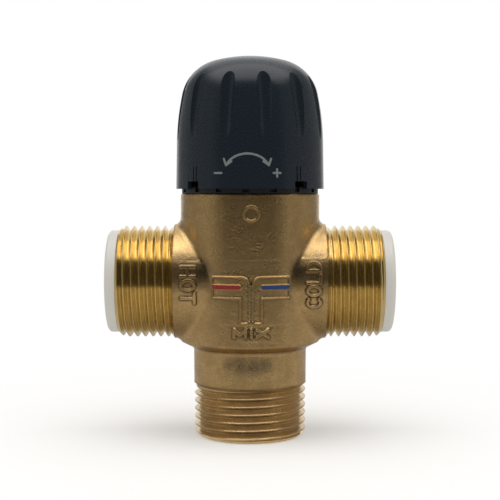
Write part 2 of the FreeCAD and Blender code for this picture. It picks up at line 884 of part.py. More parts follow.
# ---------------------------------------------------------------- check valves
# Each is drawn upright with z = 0 on the brass end face and +Z pointing into the port.
poppet_face_z = (
    cage_seat_depth + poppet_radius - cage_throat_radius - poppet_seal_width + running_gap
)
poppet_back_z = poppet_face_z + poppet_thickness
guide_low_z = cage_length - guide_thickness


def check_cage():
    """White moulded cage: flange on the port's face, seat, O-ring groove, poppet chamber."""
    outer = port_bore_radius - running_gap
    ring_floor = port_bore_radius - 2 * ring_section
    groove_half = ring_section + fit_gap
    cage = turned([
        (cage_mouth_radius, -flange_thickness),
        (flange_radius, -flange_thickness),
        (flange_radius, 0),
        (outer, 0),
        (outer, cage_ring_depth - groove_half),
        (ring_floor, cage_ring_depth - groove_half),
        (ring_floor, cage_ring_depth + groove_half),
        (outer, cage_ring_depth + groove_half),
        (outer, cage_length - cage_end_bevel),
        (outer - cage_end_bevel, cage_length),
        (cage_bore_radius, cage_length),
        (cage_bore_radius, cage_seat_depth + cage_bore_radius - cage_throat_radius),
        (cage_throat_radius, cage_seat_depth),
        (cage_throat_radius, cage_seat_depth - cage_throat_length),
        (cage_mouth_radius, -flange_thickness + cage_mouth_bevel),
    ])

    def on_outer_rim(point):
        at_rim = abs(math.hypot(point.x, point.y) - flange_radius) < 0.01
        return at_rim and abs(point.z + flange_thickness) < 0.01

    return cage.makeFillet(flange_round, edges_where(cage, on_outer_rim))


def check_o_ring():
    """Seal round the cage, which also holds it in the port."""
    return o_ring(port_bore_radius - ring_section, ring_section, cage_ring_depth)


def check_poppet():
    """Disc and stem that the flow pushes inwards."""
    disc_radius = poppet_radius - poppet_seal_width
    shoulder_z = poppet_face_z + poppet_seal_width / 2
    pilot_radius = check_spring_radius - check_wire_radius - running_gap
    pilot_z = poppet_back_z + 2 * check_wire_radius
    stem_end = cage_length + poppet_stem_radius / 3
    return turned([
        (0, poppet_face_z - poppet_nose_height),
        (disc_radius / 2, poppet_face_z - 0.8 * poppet_nose_height),
        (disc_radius - 2 * poppet_seal_width / 3, poppet_face_z),
        (disc_radius, shoulder_z),
        (disc_radius, poppet_back_z),
        (pilot_radius, poppet_back_z),
        (pilot_radius, pilot_z),
        (poppet_stem_radius, pilot_z),
        (poppet_stem_radius, stem_end - poppet_stem_radius / 3),
        (poppet_stem_radius * 2 / 3, stem_end),
        (0, stem_end),
    ])


def check_poppet_seal():
    """Rubber band round the poppet that closes on the cage's cone."""
    inner = poppet_radius - poppet_seal_width
    return turned([
        (inner, poppet_face_z + poppet_seal_width / 2),
        (poppet_radius - poppet_seal_width / 3, poppet_face_z + 2 * poppet_seal_width / 3),
        (poppet_radius, poppet_face_z + poppet_seal_width),
        (poppet_radius, poppet_back_z),
        (inner, poppet_back_z),
    ])


def check_guide():
    """Spider clipped into the cage's inner end, which guides the stem."""
    outer = cage_bore_radius - fit_gap / 2
    rim = ring(outer - guide_rim, outer, guide_low_z, cage_length)
    hub_radius = poppet_stem_radius + guide_hub_wall
    hub = ring(poppet_stem_radius + running_gap, hub_radius, guide_low_z, cage_length)
    spokes = webs(
        hub_radius, outer - guide_rim, guide_web_width,
        guide_low_z, cage_length, guide_web_count,
    )
    return rim.fuse([hub] + spokes)


def check_spring():
    """Light spring that closes the poppet."""
    return coil_spring(
        check_spring_radius, check_wire_radius, poppet_back_z, guide_low_z, check_turns,
    )


def into_port(shape, side):
    """Places a check valve piece in the hot (-1) or cold (+1) port."""
    placed = shape.copy()
    placed.rotate(Vector(0, 0, 0), Vector(0, 1, 0), -90 * side)
    placed.translate(Vector(side * port_half_length, 0, port_axis_z))
    return placed


# ---------------------------------------------------------------- write the pieces
def write(name, shapes):
    """One STEP file for a node, from one solid or several separate ones."""
    shapes = shapes if isinstance(shapes, list) else [shapes]
    solids = [solid for shape in shapes for solid in shape.Solids]
    for solid in solids:
        if not solid.isValid() or solid.Volume <= 0:
            raise ValueError(name + " has a solid that is not sound")
    shape = solids[0] if len(solids) == 1 else Part.makeCompound(solids)
    shape.exportStep(os.path.join("parts", name + ".step"))
    print(name, len(solids), "solid(s)", round(sum(s.Volume for s in solids), 1), "mm3")


def main():
    os.makedirs("parts", exist_ok=True)
    single_pieces = [
        valve_body, bonnet, bonnet_o_ring, adjusting_spindle, spindle_o_rings, spindle_circlip,
        adjusting_nut, nut_circlip, overload_plate, overload_spring, thermostat_capsule,
        thermostat_piston, mixing_spool, spool_o_ring, return_spring, return_spring_seat,
        seat_circlip, knob, index_ring,
    ]
    for piece in single_pieces:
        write(piece.__name__, piece())
    check_pieces = [
        check_cage, check_o_ring, check_poppet, check_poppet_seal, check_guide, check_spring,
    ]
    for piece in check_pieces:
        shape = piece()
        for side, label in ((-1, "hot_"), (1, "cold_")):
            write(label + piece.__name__, into_port(shape, side))


main()
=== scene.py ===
"""Looks of the thermostatic mixing valve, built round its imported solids.

Metres, +Z up along the spindle, -Y to the marked front, the outlet's end face on the floor.
"""

import bpy
import bmesh
import numpy as np
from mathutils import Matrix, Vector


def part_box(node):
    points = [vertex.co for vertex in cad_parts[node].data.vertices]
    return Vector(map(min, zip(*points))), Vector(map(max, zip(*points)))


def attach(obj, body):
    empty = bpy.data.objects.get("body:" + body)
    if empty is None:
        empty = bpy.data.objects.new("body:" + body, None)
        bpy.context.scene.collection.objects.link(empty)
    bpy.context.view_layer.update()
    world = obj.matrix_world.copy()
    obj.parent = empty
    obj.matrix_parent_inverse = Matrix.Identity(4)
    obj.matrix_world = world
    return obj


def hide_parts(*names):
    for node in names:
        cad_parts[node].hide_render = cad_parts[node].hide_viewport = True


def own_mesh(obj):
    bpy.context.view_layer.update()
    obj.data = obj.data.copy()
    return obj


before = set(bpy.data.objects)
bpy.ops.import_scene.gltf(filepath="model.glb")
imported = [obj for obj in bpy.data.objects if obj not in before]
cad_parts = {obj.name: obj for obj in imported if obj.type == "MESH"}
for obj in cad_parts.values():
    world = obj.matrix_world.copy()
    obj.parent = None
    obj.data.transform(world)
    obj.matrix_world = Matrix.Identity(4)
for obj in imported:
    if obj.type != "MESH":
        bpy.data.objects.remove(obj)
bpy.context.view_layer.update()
scene = bpy.context.scene
scene.view_settings.view_transform = "Standard"

# ---------------------------------------------------------------- camera
# A product view: level with the ports, from the marked front, and looking 3 degrees down
# through a long lens, so that the two side ports show alike.
view_distance = 0.330
view_height = 0.0553
view_pitch = np.radians(3.0)
lens = bpy.data.cameras.new("product_view")
lens.lens = 79.2
lens.sensor_width = 36.0
lens.clip_start = 0.01
lens.clip_end = 60.0
camera = bpy.data.objects.new("product_view", lens)
camera.location = (
    0.0,
    -view_distance * np.cos(view_pitch),
    view_height + view_distance * np.sin(view_pitch),
)
camera.rotation_euler = (np.pi / 2 - view_pitch, 0.0, 0.0)
scene.collection.objects.link(camera)
scene.camera = camera

# ---------------------------------------------------------------- table and studio
# A pale table, a white room seen behind it, one soft panel above the front, and dull grey
# screens round the front and sides that keep the room's white out of the polished metal.


def shader_node(tree, kind, inputs=None, **settings):
    """A node of that kind; an input is either a value or the socket that feeds it."""
    made = tree.nodes.new(kind)
    for key, value in settings.items():
        setattr(made, key, value)
    for key, value in (inputs or {}).items():
        if isinstance(value, bpy.types.NodeSocket):
            tree.links.new(value, made.inputs[key])
        else:
            made.inputs[key].default_value = value
    return made


def finish_material(name, **sockets):
    """A principled material with plain socket values; returns it, its tree and its shader."""
    made = bpy.data.materials.new(name)
    made.use_nodes = True
    shader = made.node_tree.nodes["Principled BSDF"]
    for key, value in sockets.items():
        shader.inputs[key.replace("_", " ")].default_value = value
    return made, made.node_tree, shader


def grid_surface(name, points, material, wrap=False):
    """Mesh over a grid of points (rows, columns, xyz): each cell is one four-sided face.

    With wrap, the last column is joined to the first, as round a pipe.
    """
    rows, columns = points.shape[:2]
    index = np.arange(rows * columns).reshape(rows, columns)
    if wrap:
        index = np.concatenate([index, index[:, :1]], axis=1)
    faces = np.stack(
        [index[:-1, :-1], index[:-1, 1:], index[1:, 1:], index[1:, :-1]], axis=-1
    ).reshape(-1, 4)
    mesh = bpy.data.meshes.new(name)
    mesh.vertices.add(rows * columns)
    mesh.vertices.foreach_set("co", points.reshape(-1).astype(np.float32))
    mesh.loops.add(faces.size)
    mesh.loops.foreach_set("vertex_index", faces.reshape(-1).astype(np.int32))
    mesh.polygons.add(len(faces))
    mesh.polygons.foreach_set("loop_start", np.arange(0, faces.size, 4, dtype=np.int32))
    mesh.update(calc_edges=True)
    mesh.shade_smooth()
    mesh.materials.append(material)
    made = bpy.data.objects.new(name, mesh)
    scene.collection.objects.link(made)
    return made


def white_to_eye_and_gloss(tree):
    """Socket that is 1 for a ray straight from the eye, off gloss or through glass, else 0."""
    path = shader_node(tree, "ShaderNodeLightPath")
    seen = shader_node(tree, "ShaderNodeMath", {
        0: path.outputs["Is Camera Ray"], 1: path.outputs["Is Glossy Ray"],
    }, operation="MAXIMUM")
    return shader_node(tree, "ShaderNodeMath", {
        0: seen.outputs[0], 1: path.outputs["Is Transmission Ray"],
    }, operation="MAXIMUM").outputs[0]


room = bpy.data.worlds.new("white_room")
scene.world = room
room.use_nodes = True
room_tree = room.node_tree
room_tree.nodes.clear()
room_level = 0.42
pure_white = (1.0, 1.0, 1.0, 1.0)
room_fill = shader_node(room_tree, "ShaderNodeBackground", {
    "Color": (1.0, 0.985, 0.965, 1.0), "Strength": room_level,
})
room_seen = shader_node(room_tree, "ShaderNodeBackground", {
    "Color": pure_white, "Strength": 1.0,
})
room_mix = shader_node(room_tree, "ShaderNodeMixShader", {
    0: white_to_eye_and_gloss(room_tree), 1: room_fill.outputs[0], 2: room_seen.outputs[0],
})
shader_node(room_tree, "ShaderNodeOutputWorld", {0: room_mix.outputs[0]})

# The table keeps the object's shadow close to it and fades to the room's white further out.
table_fade_start = 0.03
table_fade_end = 0.16
table_glow_level = 0.30
table_white, table_tree, table_shader = finish_material(
    "table_white", Base_Color=(0.90, 0.90, 0.89, 1.0), Roughness=0.9, Specular_IOR_Level=0.0,
)
table_place = shader_node(table_tree, "ShaderNodeTexCoord")
table_reach = shader_node(table_tree, "ShaderNodeVectorMath", {
    0: table_place.outputs["Object"],
}, operation="LENGTH")
table_far = shader_node(table_tree, "ShaderNodeMapRange", {
    "Value": table_reach.outputs["Value"], "From Min": table_fade_start,
    "From Max": table_fade_end,
}, interpolation_type="SMOOTHSTEP")
table_blend = shader_node(table_tree, "ShaderNodeMath", {
    0: white_to_eye_and_gloss(table_tree), 1: table_far.outputs[0],
}, operation="MULTIPLY")
table_seen = shader_node(table_tree, "ShaderNodeEmission", {
    "Color": pure_white, "Strength": 1.0,
})
table_lift = shader_node(table_tree, "ShaderNodeMath", {
    0: white_to_eye_and_gloss(table_tree), 1: table_glow_level,
}, operation="MULTIPLY")
table_glow = shader_node(table_tree, "ShaderNodeEmission", {
    "Color": pure_white, "Strength": table_lift.outputs[0],
})
table_near = shader_node(table_tree, "ShaderNodeAddShader", {
    0: table_shader.outputs[0], 1: table_glow.outputs[0],
})
table_mix = shader_node(table_tree, "ShaderNodeMixShader", {
    0: table_blend.outputs[0], 1: table_near.outputs[0], 2: table_seen.outputs[0],
})
table_tree.links.new(
    table_mix.outputs[0], table_tree.nodes["Material Output"].inputs["Surface"]
)
table_half = 12.0
table_drop = 0.00005
table_x, table_y = np.meshgrid([-table_half, table_half], [-table_half, table_half])
table_points = np.stack([table_x, table_y, np.full((2, 2), -table_drop)], axis=-1)
table = grid_surface("table", table_points, table_white)

# The soft panel hangs above the object and a little in front of it, tilted by 8 degrees.
panel = bpy.data.lights.new("front_panel", "AREA")
panel.shape = "RECTANGLE"
panel.size, panel.size_y = 1.15, 0.54
panel.energy = 2.55
panel.color = (1.0, 0.985, 0.955)
panel_lamp = bpy.data.objects.new("front_panel", panel)
panel_lamp.location = (0.0, -0.08, 0.64)
panel_lamp.rotation_euler = (np.radians(8.0), 0.0, 0.0)
scene.collection.objects.link(panel_lamp)


def screen(name, shade, points, glow=0.0):
    """Dull cloth over a grid of points, which only polished surfaces see; a lit one glows."""
    dull, _, _ = finish_material(
        name, Base_Color=(shade, shade, shade, 1.0), Roughness=1.0, Specular_IOR_Level=0.0,
        Emission_Color=pure_white, Emission_Strength=glow,
    )
    made = grid_surface(name, points, dull)
    made.visible_camera = made.visible_diffuse = made.visible_shadow = False
    return made


def swept_cloth(profile, first, last):
    """Profile of (reach, height) carried round the object between two bearings, in
    degrees from the front."""
    turn = np.radians(np.linspace(first, last, 25))[None, :]
    reach, height = np.array(profile)[:, :1], np.array(profile)[:, 1:]
    return np.stack([reach * np.sin(turn), -reach * np.cos(turn), height + 0 * turn], axis=-1)


# The hanging cloth lies on the table from 0.30 m outwards and rises 0.95 m away. Two more
# lie flat round the object's foot, and a lit ceiling starts above and behind it. Bearings
# are in degrees from the front.
hanging = [(0.30, 0.001), (0.75, 0.001), (0.90, 0.10), (0.95, 1.2)]
under = [(0.018, 0.0004), (0.045, 0.0004)]
near = [(0.045, 0.0004), (0.30, 0.0008)]
front_half = 54
side_end = 150
ceiling_height = 0.98
ceiling_glow = 0.85
ceiling_x, ceiling_y = np.meshgrid([-0.7, 0.7], [0.21, 1.3])
ceiling = np.stack([ceiling_x, ceiling_y, np.full((2, 2), ceiling_height)], axis=-1)
screens = [
    screen("front_screen", 0.11, swept_cloth(hanging, -front_half, front_half)),
    screen("hot_side_screen", 0.55, swept_cloth(hanging, -side_end, -front_half)),
    screen("cold_side_screen", 0.55, swept_cloth(hanging, front_half, side_end)),
    screen("under_cloth", 0.60, swept_cloth(under, -180, 180)),
    screen("near_cloth", 0.68, swept_cloth(near, -180, 180)),
    screen("ceiling", 0.3, ceiling, ceiling_glow),
]

# ---------------------------------------------------------------- body casting
# One sand-cast brass body, shot-blasted and left raw, with its three ends turned bright. The
# plain crests and reliefs of the ends are drawn in, and the cut threads are put over them.
MM = 0.001
pipe_radius = 33.249 / 2 * MM
pipe_root = pipe_radius - 1.479 * MM
pipe_pitch = 25.4 / 11 * MM
relief_radius = 16.1 * MM
core_radius = 14.9 * MM
port_axis = 46.0 * MM
port_end = 39.0 * MM
outlet_end = port_axis


def brass_material(name, tones, rough, grain, grain_size, dark_spots=(), enamelled=False, soft=0.0):
    """Raw brass in two tones, with a grain of pits and beads: dark brown where painted shade
    at the feet of raised marks (an attribute) or a dark spot of (place, reach, strength) says
    so, enamel in the paint attribute's colour where its alpha is 1, and edges rounded by the
    radius soft."""
    shade_and_spot_brown = (0.115, 0.095, 0.07, 1.0)
    grain_depth = 0.14 * MM
    made, tree, shader = finish_material(name, Metallic=1.0)
    place = shader_node(tree, "ShaderNodeTexCoord").outputs["Object"]
    coarse = shader_node(tree, "ShaderNodeTexNoise", {
        "Vector": place, "Scale": grain_size, "Detail": 3.0, "Roughness": 0.62,
    })
    blotches = shader_node(tree, "ShaderNodeTexNoise", {
        "Vector": place, "Scale": 210.0, "Detail": 6.0, "Roughness": 0.7,
    })
    mottle = shader_node(tree, "ShaderNodeMath", {
        0: coarse.outputs[0], 1: blotches.outputs[0],
    }, operation="ADD")
    mottle_level = shader_node(tree, "ShaderNodeMapRange", {
        "Value": mottle.outputs[0], "From Min": 0.84, "From Max": 1.16,
    })
    two_tone = shader_node(tree, "ShaderNodeMix", {
        "Factor": mottle_level.outputs[0], 6: tones[0], 7: tones[1],
    }, data_type="RGBA")
    # Painted shade from the attribute darkens the skin round the feet of raised marks; the dark
    # spots join it below.
    painted_shade_and_spots = shader_node(tree, "ShaderNodeAttribute", attribute_name="painted_shade_and_spots").outputs["Fac"]
    for spot, reach, strength in dark_spots:
        gap = shader_node(tree, "ShaderNodeVectorMath", {
            0: place, 1: np.array(spot) * MM,
        }, operation="DISTANCE")
        share = shader_node(tree, "ShaderNodeMapRange", {
            "Value": gap.outputs["Value"], "From Min": reach * MM, "From Max": 0.1 * reach * MM,
            "To Max": strength,
        }, interpolation_type="SMOOTHSTEP")
        painted_shade_and_spots = shader_node(tree, "ShaderNodeMath", {
            0: painted_shade_and_spots, 1: share.outputs[0],
        }, operation="MAXIMUM").outputs[0]
    speckle = shader_node(tree, "ShaderNodeMapRange", {
        "Value": coarse.outputs[0], "From Min": 0.36, "From Max": 0.56,
        "To Min": 0.55, "To Max": 1.0,
    })
    # The painted shade and the dark spots, broken up by the grain, mix brown into the tone.
    darkening = shader_node(tree, "ShaderNodeMath", {
        0: painted_shade_and_spots, 1: speckle.outputs[0],
    }, operation="MULTIPLY")
    tone_socket = shader_node(tree, "ShaderNodeMix", {
        "Factor": darkening.outputs[0], 6: two_tone.outputs[2], 7: shade_and_spot_brown,
    }, data_type="RGBA").outputs[2]
    if enamelled:
        paint = shader_node(tree, "ShaderNodeAttribute", attribute_name="paint")
        metal = shader_node(tree, "ShaderNodeMath", {
            0: 1.0, 1: paint.outputs["Alpha"],
        }, operation="SUBTRACT")
        tree.links.new(metal.outputs[0], shader.inputs["Metallic"])
        tone_socket = shader_node(tree, "ShaderNodeMix", {
            "Factor": paint.outputs["Alpha"], 6: tone_socket, 7: paint.outputs["Color"],
        }, data_type="RGBA").outputs[2]
    tree.links.new(tone_socket, shader.inputs["Base Color"])
    swell = shader_node(tree, "ShaderNodeTexNoise", {
        "Vector": place, "Scale": grain_size * 0.16, "Detail": 2.0,
    })
    skin = shader_node(tree, "ShaderNodeMath", {
        0: swell.outputs[0], 1: coarse.outputs[0],
    }, operation="ADD")
    roughness = shader_node(tree, "ShaderNodeMapRange", {
        "Value": blotches.outputs[0], "From Min": 0.3, "From Max": 0.7,
        "To Min": rough[0], "To Max": rough[1],
    })
    relief = shader_node(tree, "ShaderNodeBump", {
        "Height": skin.outputs[0], "Strength": grain, "Distance": grain_depth,
    })
    if soft:
        rounded = shader_node(tree, "ShaderNodeBevel", {"Radius": soft})
        tree.links.new(rounded.outputs[0], relief.inputs["Normal"])
    tree.links.new(roughness.outputs[0], shader.inputs["Roughness"])
    tree.links.new(relief.outputs[0], shader.inputs["Normal"])
    return made


# Dark brown spots: two pairs where the ports' necks meet the barrel, and a band of stain round
# the outlet's neck.
cast_finish = {
    "tones": ((0.61, 0.41, 0.178, 1.0), (0.48, 0.315, 0.14, 1.0)),
    "rough": (0.23, 0.35), "grain": 0.5, "grain_size": 2100.0,
    "dark_spots": [
        ((-13.3, -15.8, 50.4), 4.4, 0.8), ((13.3, -15.8, 50.4), 4.4, 0.8),
        ((-19.0, -14.9, 53.2), 4.6, 0.42), ((19.0, -14.9, 53.2), 4.6, 0.42),
        ((-5.8, -15.7, 22.6), 3.4, 0.5), ((-2.6, -16.6, 22.9), 4.2, 0.7),
        ((1.0, -16.8, 22.4), 4.0, 0.75), ((4.2, -16.2, 22.8), 3.6, 0.65),
    ],
}
casting_brass = brass_material("casting_brass", soft=1.0 * MM, **cast_finish)
cast_brass = brass_material("cast_brass", **cast_finish)
turned_brass = brass_material(
    "turned_brass", tones=((0.76, 0.58, 0.26, 1.0), (0.67, 0.50, 0.22, 1.0)),
    rough=(0.13, 0.22), grain=0.06, grain_size=2600.0,
)

casting_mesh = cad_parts["valve_body"].data.copy()
casting_mesh.name = "casting"
work = bmesh.new()
work.from_mesh(casting_mesh)
bmesh.ops.remove_doubles(work, verts=work.verts, dist=1e-6)
work.to_mesh(casting_mesh)
work.free()
for layer in ("custom_normal", "sharp_face", "sharp_edge"):
    if layer in casting_mesh.attributes:
        casting_mesh.attributes.remove(casting_mesh.attributes[layer])

# Vertices on an end's crest or relief circle go in to the core's radius about their own axis.
crest_start = 25.0 * MM
relief_start = 22.0 * MM
corners = np.empty(len(casting_mesh.vertices) * 3)
casting_mesh.vertices.foreach_get("co", corners)
corners = corners.reshape(-1, 3)
for along, across in ((0, [1, 2]), (2, [0, 1])):
    centre = np.array([0.0, 0.0, port_axis])
    offset = (corners - centre)[:, across]
    distance = np.linalg.norm(offset, axis=1)
    depth = np.abs(corners - centre)[:, along]
    on_crest = (np.abs(distance - pipe_radius) < 0.003 * MM) & (depth > crest_start)
    on_relief = (np.abs(distance - relief_radius) < 0.008 * MM) & (depth > relief_start)
    shrink = np.where(on_crest | on_relief, core_radius / np.maximum(distance, 1e-9), 1.0)
    corners[:, across] = centre[across] + offset * shrink[:, None]
casting_mesh.vertices.foreach_set("co", corners.reshape(-1))
casting_mesh.update()
casting_mesh.shade_smooth()
casting_mesh.set_sharp_from_angle(angle=np.radians(24.0))

# Past these planes the casting is turned: both ports, the outlet and the barrel's top.
turned_reach = 23.25 * MM
turned_low = 15.25 * MM
turned_high = 72.25 * MM
centres = np.empty(len(casting_mesh.polygons) * 3)
casting_mesh.polygons.foreach_get("center", centres)
centres = centres.reshape(-1, 3)
is_turned = (
    (np.abs(centres[:, 0]) > turned_reach) | (centres[:, 2] < turned_low)
    | (centres[:, 2] > turned_high)
)
casting_mesh.materials.clear()
casting_mesh.materials.append(casting_brass)
casting_mesh.materials.append(turned_brass)
casting_mesh.polygons.foreach_set("material_index", is_turned.astype(np.int32))
casting = bpy.data.objects.new("casting", casting_mesh)
scene.collection.objects.link(casting)
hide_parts("valve_body")
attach(casting, "valve")

# ---------------------------------------------------------------- pipe threads
# G 1 right-hand threads cut on the three ends, bright at the sides and duller below. Each
# starts off the foot of the cast neck and runs out on the end chamfer.
neck_fall = 1.4 * MM
thread_lead = 0.5 * MM
crest_flatness = 0.89
chamfer_step = 0.02 * MM


def pipe_thread(start, foot, end):
    """Run-out and thread along +Z from start to end: the root falls from the neck's foot
    radius, the crest swings over it as a flattened sine of (length / pitch - turn), fades in
    over half a pitch, and stays inside the 45 degree cone at the end."""
    turn, length = np.meshgrid(
        np.linspace(0, 2 * np.pi, 180, endpoint=False), np.linspace(start, end, 230),
    )
    phase = 2 * np.pi * length / pipe_pitch - turn
    wave = np.arcsin(crest_flatness * np.sin(phase)) / np.arcsin(crest_flatness)
    root = pipe_root + (foot - pipe_root) * np.clip(1 - (length - start) / neck_fall, 0, 1)
    fade = np.clip((length - start - thread_lead) / (0.5 * pipe_pitch), 0, 1)
    fade = fade * fade * (3 - 2 * fade)
    radius = root + (pipe_radius - root) * (0.5 + 0.5 * wave) * fade
    radius = np.minimum(radius, pipe_root + (end - length) + chamfer_step)
    return np.stack([radius * np.cos(turn), radius * np.sin(turn), length], axis=-1)


side_start = 22.34 * MM
side_foot = 17.08 * MM
outlet_start = 30.12 * MM
outlet_foot = 16.79 * MM
side_thread = pipe_thread(side_start, side_foot, port_end)
outlet_thread = pipe_thread(outlet_start, outlet_foot, outlet_end)
worn_brass = brass_material(
    "worn_brass", tones=((0.77, 0.57, 0.31, 1.0), (0.62, 0.45, 0.25, 1.0)),
    rough=(0.24, 0.36), grain=0.1, grain_size=2600.0,
)

# Each end's own axes: the thread's x, y and z go to these directions of the valve.
thread_ends = {
    "hot_thread": (side_thread, turned_brass, ((0, 1, 0), (0, 0, -1), (-1, 0, 0))),
    "cold_thread": (side_thread, turned_brass, ((0, -1, 0), (0, 0, -1), (1, 0, 0))),
    "outlet_thread": (outlet_thread, worn_brass, ((0, -1, 0), (-1, 0, 0), (0, 0, -1))),
}
for name, (points, finish, axes) in thread_ends.items():
    placed = points @ np.array(axes, dtype=float) + np.array([0.0, 0.0, port_axis])
    thread = grid_surface(name, placed, finish, wrap=True)
    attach(thread, "valve")

# ---------------------------------------------------------------- underside blend
# Part of the same casting: the hollow radius of the pattern, where the barrel's sloping
# underside meets the outlet's neck. Raw brass, rounded because sand can't hold a sharp edge.
foot_corner = np.array([16.81, 26.31]) * MM
rim_corner = np.array([20.65, 28.30]) * MM
below_foot = foot_corner - np.array([0.0, 4.0]) * MM
blend_radius = 1.5 * MM
blend_rows = 14


def turned_ring(profile):
    """Surface of revolution about the spindle's axis of (radius, height) points."""
    turn = np.linspace(0, 2 * np.pi, 240, endpoint=False)[None, :]
    radius, height = profile[:, :1], profile[:, 1:]
    return np.stack(
        [radius * np.cos(turn), radius * np.sin(turn), height + 0 * turn], axis=-1,
    )


def corner_arc(corner, before, after, radius):
    """Points of the arc that rounds a corner between two legs: it touches each leg at
    radius / tan(half the angle between them) from the corner."""
    leg_in = (before - corner) / np.linalg.norm(before - corner)
    leg_out = (after - corner) / np.linalg.norm(after - corner)
    half = np.arccos(np.clip(leg_in @ leg_out, -1, 1)) / 2
    middle = (leg_in + leg_out) / np.linalg.norm(leg_in + leg_out)
    centre = corner + middle * radius / np.sin(half)
    spread = np.linspace(half - np.pi / 2, np.pi / 2 - half, blend_rows)[:, None]
    side = np.array([-middle[1], middle[0]])
    side *= np.sign(leg_out @ side)
    return centre - middle * radius * np.cos(spread) + side * radius * np.sin(spread)


blend_profile = corner_arc(foot_corner, below_foot, rim_corner, blend_radius)
neck_blend = grid_surface("neck_blend", turned_ring(blend_profile), cast_brass, wrap=True)
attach(neck_blend, "valve")

# ---------------------------------------------------------------- raised marks on the casting
# Cast-on lines and letters, 0.4 to 0.5 mm proud with drafted flanks: a ring, the flow symbol
# with a red and a blue enamel strip, and HOT, COLD and MIX beside the ports they name. Each
# is on a patch of the casting's own skin, whose edges dip under the surface round it.
barrel_radius = 20.65 * MM
neck_radius = 17.12 * MM
patch_step = 0.075 * MM
skin_lift = 0.012 * MM
skin_dip = 0.05 * MM
skin_edge = 1.1 * MM
# Painted shade spreads this far out from the foot of a mark.
painted_shade_reach = 0.6 * MM


def segment(start, end):
    """Points along a straight stroke."""
    return np.linspace(start, end, 2)


def bend(centre, reach, first, last):
    """Points along part of an ellipse, between two angles in degrees."""
    turn = np.radians(np.linspace(first, last, 17))[:, None]
    return np.array(centre) + np.array(reach) * np.concatenate(
        [np.cos(turn), np.sin(turn)], axis=1
    )


# Each letter's strokes in a unit square, its foot at 0 and its head at 1.
letter_strokes = {
    "H": [segment((0, 0), (0, 1)), segment((1, 0), (1, 1)), segment((0, 0.5), (1, 0.5))],
    "O": [bend((0.5, 0.5), (0.5, 0.5), 0, 360)],
    "T": [segment((0, 1), (1, 1)), segment((0.5, 0), (0.5, 1))],
    "C": [bend((0.55, 0.5), (0.55, 0.5), 50, 310)],
    "L": [segment((0, 1), (0, 0)), segment((0, 0), (0.9, 0))],
    "D": [segment((0, 0), (0, 1)), bend((0.1, 0.5), (0.85, 0.5), -90, 90),
          segment((0, 0), (0.1, 0)), segment((0, 1), (0.1, 1))],
    "M": [segment((0, 0), (0, 1)), segment((0, 1), (0.5, 0.3)), segment((0.5, 0.3), (1, 1)),
          segment((1, 1), (1, 0))],
    "I": [segment((0, 0), (0, 1))],
    "X": [segment((0, 0), (1, 1)), segment((0, 1), (1, 0))],
}


def word_strokes(word, origin, along, up, width, gap):
    """Strokes of a word: each letter's unit square is carried along one direction and up
    another, with gaps between; I takes no width of its own."""
    strokes, used = [], 0.0
    along, up, origin = np.array(along), np.array(up), np.array(origin)
    for letter in word:
        wide = 0.0 if letter == "I" else width
        for stroke in letter_strokes[letter]:
            strokes.append(
                origin + (used + stroke[:, :1] * wide) * along + stroke[:, 1:] * up
            )
        used += wide + gap
    return strokes


def distance_to(strokes, u, v):
    """Distance from every grid point to the nearest stroke: each leg's nearest point is
    start + clip(projection, 0, 1) * leg."""
    nearest = np.full(u.shape, 1.0)
    for stroke in strokes:
        for start, end in zip(stroke[:-1], stroke[1:]):
            leg = end - start
            share = ((u - start[0]) * leg[0] + (v - start[1]) * leg[1]) / max(leg @ leg, 1e-12)
            share = np.clip(share, 0, 1)
            nearest = np.minimum(nearest, np.hypot(
                u - start[0] - share * leg[0], v - start[1] - share * leg[1]
            ))
    return nearest


def raised(distance, half_width, rise, flank):
    """Height over the skin: rise within half_width of a stroke, then down by an S-curve."""
    share = np.clip((half_width + flank - distance) / flank, 0, 1)
    return rise * share * share * (3 - 2 * share)


def skin_level(u, v):
    """Height of a patch's own skin: a hair over the casting, and under it at the edges."""
    edge = np.minimum(
        np.minimum(u - u.min(), u.max() - u), np.minimum(v - v.min(), v.max() - v)
    )
    share = np.clip(edge / skin_edge, 0, 1)
    return skin_lift - skin_dip * (1 - share * share * (3 - 2 * share))


def painted_shade_near(distance, half_width, flank):
    """Share of painted shade: full at the foot of a stroke's flank, where the mark meets the
    skin, and gone a shade reach away.
    """
    foot = half_width + 0.8 * flank
    outside = np.clip(1 - (distance - foot) / painted_shade_reach, 0, 1)
    return np.where(distance < foot, np.clip(distance / foot, 0, 1) ** 3, outside ** 2)


def cast_mark(name, place, u, v, height, painted_shade_and_spots, finish):
    """Patch of the casting's skin with the marks on it, and with the painted shade round their
    feet.
    """
    made = grid_surface(name, place(u, v, skin_level(u, v) + height), finish)
    layer = made.data.attributes.new("painted_shade_and_spots", "FLOAT", "POINT")
    inside = np.clip(skin_level(u, v) / skin_lift, 0, 1)
    layer.data.foreach_set("value", (painted_shade_and_spots * inside).reshape(-1).astype(np.float32))
    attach(made, "valve")
    return made


def round_barrel(u, v, height):
    """Point on the barrel: u is the way round its front, v the height, both in metres."""
    turn = u / barrel_radius
    reach = barrel_radius + height
    return np.stack([reach * np.sin(turn), -reach * np.cos(turn), v + 0 * u], axis=-1)


def round_neck(u, v, height):
    """Point on a port's neck: u is the place along X, v the way up round its front."""
    turn = v / neck_radius
    reach = neck_radius + height
    return np.stack([u, -reach * np.cos(turn), port_axis + reach * np.sin(turn)], axis=-1)


def patch_grid(u_range, v_range):
    """Even grid of (u, v) over a patch, about one patch step apart."""
    return np.meshgrid(
        np.linspace(*u_range, int((u_range[1] - u_range[0]) / patch_step)),
        np.linspace(*v_range, int((v_range[1] - v_range[0]) / patch_step)),
    )


